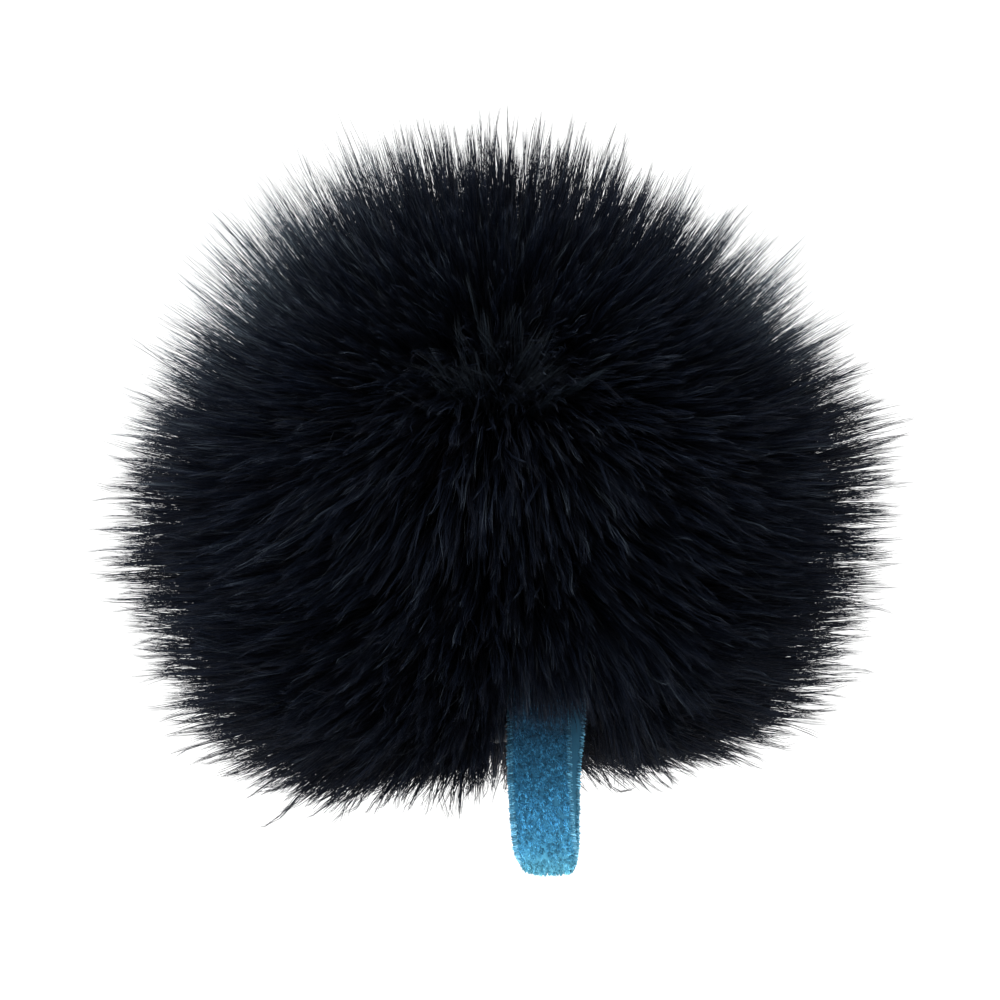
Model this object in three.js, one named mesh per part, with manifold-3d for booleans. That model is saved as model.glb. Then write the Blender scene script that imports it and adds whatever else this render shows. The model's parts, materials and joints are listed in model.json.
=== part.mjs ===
// A furry wind cover for a lavalier microphone capsule: two fur panels sewn over a foam core, with an
// elastic mouth below and a ribbon pull tab at the front.
// Millimetres, +Z up. The origin is the centre of the mouth, and the pull tab hangs on the -Y side.

import * as THREE from "three";
import { mergeVertices } from "three/addons/utils/BufferGeometryUtils.js";
import Module from "manifold-3d";

const wasm = await Module();
wasm.setup();

// Driving dimensions.
const GAP = 0.3; // air between neighbouring pieces
const SIDES = 32; // flats around each turned piece
const CENTRE_Z = 13; // centre of the fur's dome and of the domes inside it

const BACKING_R = 8; // outside of the knitted backing
const BACKING_THICK = 0.8;
const GATHER_Z = 5; // the backing is gathered in below this height
const BACKING_FOOT_R = 6.5;
const BACKING_FOOT_Z = 1.7;

const PILE_R = 26.6; // tips of the fur, from the centre of its dome
const PILE_FOOT_R = 12.5; // where the fur's rounded underside turns flat
const PILE_FOOT_Z = -5.5;
const FUNNEL_R = 7.1; // the fur stands open this wide below the hem

const MOUTH_R = 3.4; // the relaxed mouth
const CASING_R = 1.4; // section of the turned hem
const CHANNEL_R = 0.85; // space for the elastic inside the hem
const CHANNEL_SLOT = 0.5; // half angle, in radians, of the open edge of the hem
const ELASTIC_R = 0.5;
const KNOT_R = 0.72;

const FOAM_R = 6.4;
const FOAM_FOOT_R = 5;
const FOAM_FOOT_Z = 2.2;
const FOAM_GATHER_Z = 4.2;
const POCKET_R = 3.2; // takes the capsule
const POCKET_TOP_Z = 15;
const SEAT_R = 2.2; // flat blind end of the pocket

const RIBBON_WIDE = 4.4;
const RIBBON_THICK = 0.7;
const RIBBON_SKEW = 0.7; // each leg of the loop leans this far to its own side at the hinge
const TAB_Y = -9; // plane between the two legs
const TAB_FOLD_Z = -9.9; // lowest point of the loop
const TAB_GAPE = 0.35; // half of the space inside the loop
const HINGE_Z = 2; // the ribbon bends here, below its sewn ends
const NECK_FOOT_Z = -0.3; // below this the loop can turn
const ROOT_TOP_Z = 5.2;

const THREAD_R = 0.16;
const TACK_THREAD_R = 0.12; // the bar tacks are sewn with a finer thread
const NOTCH_HALF = 3.6; // the fur parts this far each side of the tab
const NOTCH_TOP_Z = 4.4;
const FAR = 60; // past every part of the object

const RING_R = MOUTH_R + CASING_R; // centre line of the elastic

// Shared tools.

// A closed geometry as a solid that can be cut.
function solidOf(geometry) {
  const bare = geometry.clone();
  bare.deleteAttribute("normal");
  bare.deleteAttribute("uv");
  const merged = mergeVertices(bare, 1e-4);
  return new wasm.Manifold(
    new wasm.Mesh({
      numProp: 3,
      vertProperties: merged.attributes.position.array,
      triVerts: new Uint32Array(merged.index.array),
    }),
  );
}

// A solid as a geometry with flat-shaded faces.
function geometryOf(solid) {
  const mesh = solid.getMesh();
  const geometry = new THREE.BufferGeometry();
  geometry.setAttribute("position", new THREE.BufferAttribute(mesh.vertProperties, 3));
  geometry.setIndex(new THREE.BufferAttribute(mesh.triVerts, 1));
  geometry.computeVertexNormals();
  return geometry;
}

// A box between two corners.
function boxBetween(low, high) {
  const size = new THREE.Vector3().subVectors(high, low);
  const centre = new THREE.Vector3().addVectors(low, high).multiplyScalar(0.5);
  return new THREE.BoxGeometry(size.x, size.y, size.z).translate(...centre);
}

// A profile of (radius, height) points turned about Z. It runs anticlockwise, so its faces point out.
function turned(profile) {
  return new THREE.LatheGeometry(profile, SIDES).rotateX(Math.PI / 2);
}

// Points on an arc about (r, z), from one angle to another.
function arc(r, z, radius, from, to, steps) {
  return Array.from({ length: steps + 1 }, (_, i) => {
    const angle = from + ((to - from) * i) / steps;
    return new THREE.Vector2(r + radius * Math.cos(angle), z + radius * Math.sin(angle));
  });
}

// Points that start and end an axis profile sit on the axis itself.
function ontoAxis(profile) {
  return profile.map((p) => new THREE.Vector2(Math.abs(p.x) < 1e-6 ? 0 : p.x, p.y));
}

// A round thread or cord along a curve through the given points.
function cordAlong(points, radius, steps, sides) {
  const section = new THREE.Shape(arc(0, 0, radius, 0, 2 * Math.PI * (1 - 1 / sides), sides - 1));
  const path = new THREE.CatmullRomCurve3(points);
  return new THREE.ExtrudeGeometry(section, { steps, extrudePath: path, bevelEnabled: false });
}

// The half of a solid that belongs to the front panel (side -1) or the rear panel (side +1).
function panelHalf(solid, side) {
  const near = side * (GAP / 2);
  const far = side * FAR;
  const low = new THREE.Vector3(-FAR, Math.min(near, far), -FAR);
  const high = new THREE.Vector3(FAR, Math.max(near, far), FAR);
  return solid.intersect(solidOf(boxBetween(low, high)));
}

// A named mesh with its own material.
function part(name, geometry, colour, roughness) {
  const material = new THREE.MeshStandardMaterial({ color: colour, roughness, metalness: 0 });
  const mesh = new THREE.Mesh(geometry, material);
  mesh.name = name;
  return mesh;
}

// The knitted backing of the fur, gathered in at its foot.
function backingShell() {
  const insideR = BACKING_R - BACKING_THICK;
  const insideFootR = BACKING_FOOT_R - BACKING_THICK;
  const inner = arc(0, CENTRE_Z, insideR, Math.PI / 2, 0, 7);
  const outer = arc(0, CENTRE_Z, BACKING_R, 0, Math.PI / 2, 7);
  const foot = [
    new THREE.Vector2(insideR, GATHER_Z),
    new THREE.Vector2(insideFootR, BACKING_FOOT_Z),
    new THREE.Vector2(BACKING_FOOT_R, BACKING_FOOT_Z),
    new THREE.Vector2(BACKING_R, GATHER_Z),
  ];
  return solidOf(turned(ontoAxis([...inner, ...foot, ...outer])));
}

// The space that the fur fills: a dome above, a tapering skirt below, open at the mouth.
function pileSolid() {
  const rootR = BACKING_R + GAP;
  const skirt = new THREE.CatmullRomCurve3([
    new THREE.Vector3(PILE_FOOT_R, PILE_FOOT_Z, 0),
    new THREE.Vector3(17.5, -3, 0),
    new THREE.Vector3(22.4, 2.4, 0),
    new THREE.Vector3(25.6, 8.2, 0),
    new THREE.Vector3(PILE_R, CENTRE_Z, 0),
  ]);
  const profile = [
    ...arc(0, CENTRE_Z, rootR, Math.PI / 2, 0, 6),
    new THREE.Vector2(rootR, GATHER_Z),
    new THREE.Vector2(FUNNEL_R, BACKING_FOOT_Z),
    new THREE.Vector2(FUNNEL_R, PILE_FOOT_Z),
    ...skirt.getPoints(7).map((p) => new THREE.Vector2(p.x, p.y)),
    ...arc(0, CENTRE_Z, PILE_R, 0, Math.PI / 2, 9).slice(1),
  ];
  return solidOf(turned(ontoAxis(profile))).subtract(tabNotch()).subtract(rootRecess());
}

// The fur parts here, so that the tab can hang, lift and turn.
function tabNotch() {
  const low = new THREE.Vector3(-NOTCH_HALF, -FAR, -FAR);
  const high = new THREE.Vector3(NOTCH_HALF, -MOUTH_R, NOTCH_TOP_Z);
  return solidOf(boxBetween(low, high));
}

// Room above the notch for the sewn ends of the ribbon and their tacks.
function rootRecess() {
  const depth = RIBBON_THICK + 2 * GAP + 2 * TACK_THREAD_R;
  const low = new THREE.Vector3(-NOTCH_HALF, TAB_Y - depth, 0);
  const high = new THREE.Vector3(NOTCH_HALF, -MOUTH_R, ROOT_TOP_Z + GAP);
  return solidOf(boxBetween(low, high));
}

// The thread that joins the two panels inside the backing, from one side over the crown to the other.
function seamThread() {
  const radius = (BACKING_R - BACKING_THICK + FOAM_R) / 2;
  const stitch = 1.6;
  const swing = 0.6;
  const straight = CENTRE_Z - GATHER_Z;
  const length = 2 * straight + Math.PI * radius;
  const stitches = Math.round(length / stitch);
  const perStitch = 4;
  const points = Array.from({ length: stitches * perStitch + 1 }, (_, i) => {
    const along = (length * i) / (stitches * perStitch);
    const y = swing * Math.sin((2 * Math.PI * i) / perStitch);
    if (along < straight) return new THREE.Vector3(radius, y, GATHER_Z + along);
    if (along > length - straight) return new THREE.Vector3(-radius, y, GATHER_Z + length - along);
    const angle = (along - straight) / radius;
    return new THREE.Vector3(radius * Math.cos(angle), y, CENTRE_Z + radius * Math.sin(angle));
  });
  return cordAlong(points, THREAD_R, stitches * perStitch * 1.5, 5);
}

// The hem turned over the elastic. Its cut edge leaves a slot on top.
function hemCasing() {
  const slot = Math.PI / 2;
  const outer = arc(RING_R, 0, CASING_R, slot + CHANNEL_SLOT, slot + 2 * Math.PI - CHANNEL_SLOT, 10);
  const inner = arc(RING_R, 0, CHANNEL_R, slot + 2 * Math.PI - CHANNEL_SLOT, slot + CHANNEL_SLOT, 7);
  return turned([...outer, ...inner, outer[0].clone()]);
}

// The zigzag that holds the hem shut, all round its outer side.
function hemStitch() {
  const radius = RING_R + CASING_R + GAP + THREAD_R;
  const stitches = 20;
  const perStitch = 4;
  const ends = 0.06;
  const points = Array.from({ length: stitches * perStitch + 1 }, (_, i) => {
    const turn = ends + ((2 * Math.PI - 2 * ends) * i) / (stitches * perStitch);
    const z = 0.45 + 0.4 * Math.sin((2 * Math.PI * i) / perStitch);
    return new THREE.Vector3(radius * Math.sin(turn), radius * Math.cos(turn), z);
  });
  return cordAlong(points, THREAD_R, stitches * perStitch * 1.25, 5);
}

// The elastic in the hem, open at the rear where its two ends are knotted.
function elasticCord() {
  const opening = (KNOT_R + GAP) / RING_R;
  const steps = 36;
  const points = Array.from({ length: steps + 1 }, (_, i) => {
    const turn = opening + ((2 * Math.PI - 2 * opening) * i) / steps;
    return new THREE.Vector3(RING_R * Math.sin(turn), RING_R * Math.cos(turn), 0);
  });
  return cordAlong(points, ELASTIC_R, steps, 8);
}

function elasticKnot() {
  return new THREE.SphereGeometry(KNOT_R, 12, 8).translate(0, RING_R, 0);
}

// The foam that keeps the cover round, with the blind pocket that takes the capsule.
function foamCore() {
  const chamfer = POCKET_R - SEAT_R;
  const profile = [
    new THREE.Vector2(0, POCKET_TOP_Z),
    new THREE.Vector2(SEAT_R, POCKET_TOP_Z),
    new THREE.Vector2(POCKET_R, POCKET_TOP_Z - chamfer),
    new THREE.Vector2(POCKET_R, FOAM_FOOT_Z),
    new THREE.Vector2(FOAM_FOOT_R, FOAM_FOOT_Z),
    new THREE.Vector2(FOAM_R, FOAM_GATHER_Z),
    ...arc(0, CENTRE_Z, FOAM_R, 0, Math.PI / 2, 6),
  ];
  return turned(ontoAxis(profile));
}

// Leans the two legs of the ribbon apart: the front one to -X, the rear one to +X, least at the fold.
function skewed(geometry) {
  const at = geometry.attributes.position;
  for (let i = 0; i < at.count; i++) {
    const height = (at.getZ(i) - TAB_FOLD_Z) / (HINGE_Z - TAB_FOLD_Z);
    const side = THREE.MathUtils.clamp((at.getY(i) - TAB_Y) / RIBBON_THICK, -1, 1);
    at.setX(i, at.getX(i) + RIBBON_SKEW * Math.min(height, 1) * side);
  }
  return geometry;
}

// An outline of (depth from the tab's plane, height) extruded across the ribbon's width.
function acrossRibbon(outline) {
  const shape = new THREE.Shape(outline);
  const block = new THREE.ExtrudeGeometry(shape, { depth: RIBBON_WIDE, bevelEnabled: false });
  block.translate(0, 0, -RIBBON_WIDE / 2);
  block.applyMatrix4(new THREE.Matrix4().set(0, 0, 1, 0, 1, 0, 0, TAB_Y, 0, 1, 0, 0, 0, 0, 0, 1));
  return skewed(block);
}

// The ribbon's two ends, laid together and sewn to the backing above the hem.
function tabRoot() {
  const foot = HINGE_Z + RIBBON_THICK + GAP;
  return acrossRibbon([
    new THREE.Vector2(-RIBBON_THICK, foot),
    new THREE.Vector2(RIBBON_THICK, foot),
    new THREE.Vector2(RIBBON_THICK, ROOT_TOP_Z),
    new THREE.Vector2(-RIBBON_THICK, ROOT_TOP_Z),
  ]);
}

// The stretch just below, round-topped about the line it bends on.
function tabNeck() {
  return acrossRibbon([
    new THREE.Vector2(-RIBBON_THICK, NECK_FOOT_Z),
    new THREE.Vector2(RIBBON_THICK, NECK_FOOT_Z),
    ...arc(0, HINGE_Z, RIBBON_THICK, 0, Math.PI, 8),
  ]);
}

// The loop: front leg, fold and rear leg, pressed together at the top and open in the middle.
function tabLoop() {
  const top = NECK_FOOT_Z - GAP;
  const middle = top - 2.8;
  const outR = TAB_GAPE + RIBBON_THICK;
  const foldZ = TAB_FOLD_Z + outR;
  const slit = 0.06;
  return acrossRibbon([
    new THREE.Vector2(-slit - RIBBON_THICK, top),
    new THREE.Vector2(-outR, middle),
    ...arc(0, foldZ, outR, -Math.PI, 0, 8),
    new THREE.Vector2(outR, middle),
    new THREE.Vector2(slit + RIBBON_THICK, top),
    new THREE.Vector2(slit, top),
    new THREE.Vector2(TAB_GAPE, middle),
    ...arc(0, foldZ, TAB_GAPE, 0, -Math.PI, 6),
    new THREE.Vector2(-TAB_GAPE, middle),
    new THREE.Vector2(-slit, top),
  ]);
}

// A row of zigzag stitches across the sewn ends of the ribbon.
function barTack(z) {
  const waves = 4;
  const perWave = 4;
  const swing = 0.18;
  const half = RIBBON_WIDE / 2 - GAP;
  const y = TAB_Y - RIBBON_THICK - GAP - TACK_THREAD_R;
  const points = Array.from({ length: waves * perWave + 1 }, (_, i) => {
    const x = -half + (2 * half * i) / (waves * perWave);
    return new THREE.Vector3(x, y, z + swing * Math.sin((2 * Math.PI * i) / perWave));
  });
  return cordAlong(points, TACK_THREAD_R, waves * perWave * 2, 6);
}

const FUR = 0x0b0d14;
const KNIT = 0x16171c;
const DARK_THREAD = 0x101116;
const BLUE = 0x3d7ba2;

const cover = new THREE.Group();
const backing = backingShell();
const pile = pileSolid();
cover.add(
  part("front_backing", geometryOf(panelHalf(backing, -1)), KNIT, 0.95),
  part("rear_backing", geometryOf(panelHalf(backing, 1)), KNIT, 0.95),
  part("front_pile", geometryOf(panelHalf(pile, -1)), FUR, 0.8),
  part("rear_pile", geometryOf(panelHalf(pile, 1)), FUR, 0.8),
  part("panel_seam_thread", seamThread(), DARK_THREAD, 0.6),
  part("foam_core", foamCore(), 0x2a2b2e, 1),
  part("hem_casing", hemCasing(), KNIT, 0.95),
  part("hem_stitch", hemStitch(), DARK_THREAD, 0.6),
  part("elastic_cord", elasticCord(), 0x1d1d20, 0.7),
  part("elastic_knot", elasticKnot(), 0x1d1d20, 0.7),
  part("tab_root", tabRoot(), BLUE, 0.9),
  part("tab_neck", tabNeck(), BLUE, 0.9),
  part("tab_loop", tabLoop(), BLUE, 0.9),
  part("tab_tack_lower", barTack(3.6), DARK_THREAD, 0.6),
  part("tab_tack_upper", barTack(4.6), DARK_THREAD, 0.6),
);

export default cover;
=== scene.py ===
"""Looks of the furry wind cover for a lavalier microphone: fur, backing, hem, foam and ribbon tab.

Lengths below are in millimetres, and mesh_object() turns them into metres. The front is -Y, +Z is up.
"""

import json
import math

import bpy
import numpy as np
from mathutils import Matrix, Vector


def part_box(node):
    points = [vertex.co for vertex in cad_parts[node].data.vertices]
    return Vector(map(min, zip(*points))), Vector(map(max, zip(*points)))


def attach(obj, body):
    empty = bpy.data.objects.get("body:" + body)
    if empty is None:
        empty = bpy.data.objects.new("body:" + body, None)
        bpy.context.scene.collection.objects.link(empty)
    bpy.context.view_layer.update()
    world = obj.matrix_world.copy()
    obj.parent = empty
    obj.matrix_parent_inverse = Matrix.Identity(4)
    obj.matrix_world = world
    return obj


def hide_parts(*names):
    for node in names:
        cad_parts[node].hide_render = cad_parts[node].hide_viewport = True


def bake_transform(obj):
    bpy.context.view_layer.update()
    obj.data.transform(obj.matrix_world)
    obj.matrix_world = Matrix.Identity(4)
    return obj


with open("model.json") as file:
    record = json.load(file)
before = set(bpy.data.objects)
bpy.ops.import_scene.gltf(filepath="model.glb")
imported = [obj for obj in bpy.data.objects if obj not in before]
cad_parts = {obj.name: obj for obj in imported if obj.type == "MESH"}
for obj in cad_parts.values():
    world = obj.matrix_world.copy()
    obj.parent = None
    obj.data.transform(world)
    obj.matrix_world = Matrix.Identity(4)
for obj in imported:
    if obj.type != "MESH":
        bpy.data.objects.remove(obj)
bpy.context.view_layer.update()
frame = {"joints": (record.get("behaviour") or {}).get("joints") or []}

MM = 0.001
UP = np.array([0.0, 0.0, 1.0])
rng = np.random.default_rng(20)


def box_mm(node):
    """Lowest and highest corner of a CAD node, in millimetres."""
    low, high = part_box(node)
    return np.array(low) / MM, np.array(high) / MM


# Sizes that the frame gives.
BACKING_LOW, BACKING_HIGH = box_mm("front_backing")
PILE_HIGH = box_mm("front_pile")[1]
CASING_HIGH = box_mm("hem_casing")[1]
FOAM_R = box_mm("foam_core")[1][0]
LOOP_LOW, LOOP_HIGH = box_mm("tab_loop")
NECK_LOW, NECK_HIGH = box_mm("tab_neck")
ROOT_LOW, ROOT_HIGH = box_mm("tab_root")

BACKING_R = BACKING_HIGH[0]
CROWN_Z = BACKING_HIGH[2]
CENTRE_Z = CROWN_Z - BACKING_R
BACKING_FOOT_Z = BACKING_LOW[2]
PILE_R = PILE_HIGH[2] - CENTRE_Z
CASING_R = CASING_HIGH[2]
RING_R = CASING_HIGH[0] - CASING_R
TAB_Y = (LOOP_LOW[1] + LOOP_HIGH[1]) / 2
TAB_FOLD_Z = LOOP_LOW[2]
TAB_LIFT = next(joint for joint in frame["joints"] if joint["name"] == "tab_lift")
HINGE_Z = TAB_LIFT["pos_m"][2] / MM
RIBBON_THICK = (ROOT_HIGH[1] - ROOT_LOW[1]) / 2

# Sizes that part.mjs has and the frame doesn't.
GATHER_Z = 5.0
BACKING_FOOT_R = 6.5
CHANNEL_R = 0.85
CHANNEL_SLOT = 0.5
ELASTIC_R = 0.5
KNOT_R = 0.72
FOAM_FOOT_R = 5.0
FOAM_FOOT_Z = 2.2
FOAM_GATHER_Z = 4.2
POCKET_R = 3.2
POCKET_TOP_Z = 15.0
SEAT_R = 2.2
RIBBON_WIDE = 4.4
RIBBON_SKEW = 0.7
NOTCH_HALF = 3.6
THREAD_R = 0.16

# How the object is seen and lit.
CAMERA_AZIMUTH = math.radians(-19.5)
CAMERA_ELEVATION = math.radians(1)
LENS_MM = 300
FRAME_WIDE = 67.0


# ---------------------------------------------------------------------------------------------
# Mesh tools


def mesh_object(name, points, quads=None, tris=None, uv=None, smooth=True):
    """A mesh object from points in millimetres, rows of quads and triangles, and a (u, v) per point."""
    quads = np.zeros((0, 4), np.int32) if quads is None else np.asarray(quads, np.int32)
    tris = np.zeros((0, 3), np.int32) if tris is None else np.asarray(tris, np.int32)
    corners = np.concatenate([quads.ravel(), tris.ravel()])
    starts = np.concatenate(
        [np.arange(len(quads)) * 4, len(quads) * 4 + np.arange(len(tris)) * 3]
    )
    mesh = bpy.data.meshes.new(name)
    mesh.vertices.add(len(points))
    mesh.vertices.foreach_set("co", (points * MM).astype(np.float32).ravel())
    mesh.loops.add(len(corners))
    mesh.loops.foreach_set("vertex_index", corners)
    mesh.polygons.add(len(starts))
    mesh.polygons.foreach_set("loop_start", starts.astype(np.int32))
    mesh.update(calc_edges=True)
    mesh.polygons.foreach_set("use_smooth", np.full(len(starts), smooth))
    if uv is not None:
        layer = mesh.uv_layers.new(name="OFBake")
        layer.data.foreach_set("uv", uv[corners].astype(np.float32).ravel())
    obj = bpy.data.objects.new(name, mesh)
    bpy.context.scene.collection.objects.link(obj)
    return obj


def unit(v):
    """Vectors scaled to length one."""
    return v / np.maximum(np.linalg.norm(v, axis=-1, keepdims=True), 1e-9)


def smoothstep(low, high, x):
    """0 up to low, 1 from high, and a smooth rise between. low may be above high."""
    t = np.clip((x - low) / (high - low), 0, 1)
    return t * t * (3 - 2 * t)


def distance_along(path):
    """How far along a path each of its points is."""
    return np.concatenate([[0], np.cumsum(np.linalg.norm(np.diff(path, axis=0), axis=1))])


def wrapped(index):
    """A grid of point numbers with its first column repeated after its last."""
    return np.concatenate([index, index[:, :1]], axis=1)


def grid_quads(index):
    """The quads between the points of a grid of point numbers."""
    return np.stack([index[:-1, :-1], index[:-1, 1:], index[1:, 1:], index[1:, :-1]], -1).reshape(-1, 4)


def right_of(path):
    """Directions square to a flat path at each of its points, on its right."""
    way = unit(np.gradient(path, axis=0))
    return np.stack([way[:, 1], -way[:, 0]], 1)


STRAND_UV = 0.02  # the share of the UV square that one strand takes


def strand_mesh(name, lines, radii, tint, place=None):
    """Three-sided tapered strands. lines is (strand, ring, xyz), and the last ring is the sharp tip.

    Each strand has a narrow column of the UV square at its tint. It runs up it, or stays near its place.
    """
    count, rings = lines.shape[0], lines.shape[1] - 1
    tangent = unit(np.gradient(lines, axis=1))[:, :rings]
    side = unit(np.cross(tangent, rng.normal(size=(count, 1, 3))))
    other = np.cross(tangent, side)
    turn = np.arange(3) * 2 * math.pi / 3
    around = side[:, :, None] * np.cos(turn)[:, None] + other[:, :, None] * np.sin(turn)[:, None]
    tube = lines[:, :rings, None] + around * radii[:, :rings, None, None]
    points = np.concatenate([tube.reshape(count, rings * 3, 3), lines[:, -1:]], axis=1)
    tip = rings * 3
    last = tip - 3
    quads = grid_quads(wrapped(np.arange(tip).reshape(rings, 3)))
    tris = np.array([[last, last + 1, tip], [last + 1, last + 2, tip], [last + 2, last, tip], [2, 1, 0]])
    first = (np.arange(count) * (tip + 1))[:, None, None]
    along = np.append(np.repeat(np.arange(rings) / rings, 3), 1.0)[None]
    if place is not None:
        along = place[:, None] * (1 - STRAND_UV) + STRAND_UV * along
    across = np.append(np.tile(np.arange(3) / 2, rings), 0.5)[None]
    across = tint[:, None] * (1 - STRAND_UV) + STRAND_UV * across
    uv = np.stack(np.broadcast_arrays(across, along), axis=-1).reshape(-1, 2)
    quads, tris = (quads[None] + first).reshape(-1, 4), (tris[None] + first).reshape(-1, 3)
    return mesh_object(name, points.reshape(-1, 3), quads, tris, uv)


def slab(name, outer, inner, wrap=False, uv=None):
    """A closed sheet between two grids of points, (rows, columns, xyz).

    wrap joins its last column to its first.
    """
    rows, columns = outer.shape[:2]
    count = rows * columns
    index = np.arange(count).reshape(rows, columns)
    if wrap:
        index = wrapped(index)
        rims = [index[0], index[-1, ::-1]]
    else:
        rims = [np.concatenate([index[0], index[1:, -1], index[-1, -2::-1], index[-2::-1, 0]])]
    outside = grid_quads(index)
    inside = outside[:, ::-1] + count
    sides = [np.stack([rim[1:], rim[:-1], rim[:-1] + count, rim[1:] + count], -1) for rim in rims]
    points = np.concatenate([outer.reshape(-1, 3), inner.reshape(-1, 3)])
    if uv is not None:
        uv = np.concatenate([uv.reshape(-1, 2)] * 2)
    return mesh_object(name, points, np.concatenate([outside, inside, *sides]), uv=uv)


def polar(r, z, turn):
    """Points from radius, height and turn about Z, turn 0 being the front."""
    return np.stack(np.broadcast_arrays(r * np.sin(turn), -r * np.cos(turn), z), axis=-1)


def rings_about_z(profile, segments):
    """A ring of points for each (radius, height) of the profile, and the points' numbers."""
    turn = np.linspace(0, 2 * math.pi, segments, endpoint=False)
    points = [polar(r, z, turn) for r, z in profile]
    index = np.arange(len(profile) * segments).reshape(-1, segments)
    return np.concatenate(points), wrapped(index)


def turned(name, profile, segments, relief):
    """A profile of (radius, height), from a point on the axis to another, turned about it.

    relief moves its points.
    """
    points, index = rings_about_z(profile[1:-1], segments)
    points = relief(points)
    ends = np.array([[0, 0, profile[0][1]], [0, 0, profile[-1][1]]])
    top, foot = np.full(segments, len(points)), np.full(segments, len(points) + 1)
    top_fan = np.stack([index[0, :-1], index[0, 1:], top], -1)
    foot_fan = np.stack([index[-1, 1:], index[-1, :-1], foot], -1)
    quads = grid_quads(index)[:, ::-1]
    return mesh_object(name, np.concatenate([points, ends]), quads, np.concatenate([top_fan, foot_fan]))


def frames_along(path, closed):
    """Two directions square to the path at each of its points, turning as little as they can."""
    step = np.roll(path, -1, axis=0) - np.roll(path, 1, axis=0) if closed else np.gradient(path, axis=0)
    way = unit(step)
    aside = UP if abs(way[0][2]) < 0.9 else np.array([1.0, 0, 0])
    side = [unit(np.cross(way[0], aside))]
    for ahead in way[1:]:
        side.append(unit(side[-1] - ahead * np.dot(side[-1], ahead)))
    side = np.array(side)
    return side, np.cross(way, side)


def cord_mesh(name, path, radius, plies, lay, sides=12, closed=False, braided=False):
    """A twisted or braided cord along a path. lay is the length of one turn of its plies."""
    side, other = frames_along(path, closed)
    around = (np.arange(sides) * 2 * math.pi / sides)[None]
    twist = 2 * math.pi * distance_along(path)[:, None] / lay
    ridge = np.abs(np.cos(plies / 2 * (around + twist)))
    if braided:
        ridge = np.maximum(ridge, np.abs(np.cos(plies / 2 * (around - twist))))
    r = radius * (0.8 + 0.2 * ridge)[..., None]
    tube = path[:, None] + side[:, None] * np.cos(around)[..., None] * r
    tube = tube + other[:, None] * np.sin(around)[..., None] * r
    index = np.arange(len(path) * sides).reshape(len(path), sides)
    if closed:
        index = np.concatenate([index, index[:1]])
    index = wrapped(index)
    quads = grid_quads(index)
    points = tube.reshape(-1, 3)
    if closed:
        return mesh_object(name, points, quads)
    count = len(points)
    points = np.concatenate([points, path[:1], path[-1:]])
    start = np.stack([index[0, 1:], index[0, :-1], np.full(sides, count)], -1)
    end = np.stack([index[-1, :-1], index[-1, 1:], np.full(sides, count + 1)], -1)
    return mesh_object(name, points, quads, np.concatenate([start, end]))


def finished(piece, mat, replaced):
    """Gives a piece of the cover its material, and puts it in place of the CAD node it stands for."""
    piece.data.materials.append(mat)
    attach(piece, "cover")
    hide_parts(replaced)


# ---------------------------------------------------------------------------------------------
# Materials


def material(name, roughness, specular=0.5, sheen=0.0):
    """A material with a Principled shader, its node tree and the shader."""
    mat = bpy.data.materials.new(name)
    mat.use_nodes = True
    shader = mat.node_tree.nodes["Principled BSDF"]
    shader.inputs["Roughness"].default_value = roughness
    shader.inputs["Specular IOR Level"].default_value = specular
    shader.inputs["Sheen Weight"].default_value = sheen
    shader.inputs["Sheen Roughness"].default_value = 0.5
    return mat, mat.node_tree, shader


def ramp(tree, source, stops):
    """A colour ramp of (position, rgb) stops read at source."""
    node = tree.nodes.new("ShaderNodeValToRGB")
    while len(node.color_ramp.elements) < len(stops):
        node.color_ramp.elements.new(0.5)
    for element, (position, rgb) in zip(node.color_ramp.elements, stops):
        element.position = position
        element.color = (*rgb, 1)
    tree.links.new(source, node.inputs["Fac"])
    return node.outputs["Color"]


def combined(tree, a, b, blend):
    """Colours a and b multiplied or added."""
    node = tree.nodes.new("ShaderNodeMix")
    node.data_type = "RGBA"
    node.blend_type = blend
    node.inputs["Factor"].default_value = 1.0
    tree.links.new(a, node.inputs["A"])
    tree.links.new(b, node.inputs["B"])
    return node.outputs["Result"]


def strand_coordinates(tree):
    """The strand's own tint, from 0 to 1, and how far along it a point is."""
    uv = tree.nodes.new("ShaderNodeUVMap")
    uv.uv_map = "OFBake"
    split = tree.nodes.new("ShaderNodeSeparateXYZ")
    tree.links.new(uv.outputs["UV"], split.inputs["Vector"])
    return split.outputs["X"], split.outputs["Y"]


def noise(tree, per_mm, detail=3.0):
    """A noise with this many features a millimetre, in the piece's own space."""
    node = tree.nodes.new("ShaderNodeTexNoise")
    node.inputs["Scale"].default_value = per_mm / MM
    node.inputs["Detail"].default_value = detail
    tree.links.new(tree.nodes.new("ShaderNodeTexCoord").outputs["Object"], node.inputs["Vector"])
    return node.outputs["Fac"]


def bumped(tree, shader, height, depth_mm):
    """Small relief on the shader's normal, read at height."""
    node = tree.nodes.new("ShaderNodeBump")
    node.inputs["Distance"].default_value = depth_mm * MM
    tree.links.new(height, node.inputs["Height"])
    tree.links.new(node.outputs["Normal"], shader.inputs["Normal"])


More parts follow.
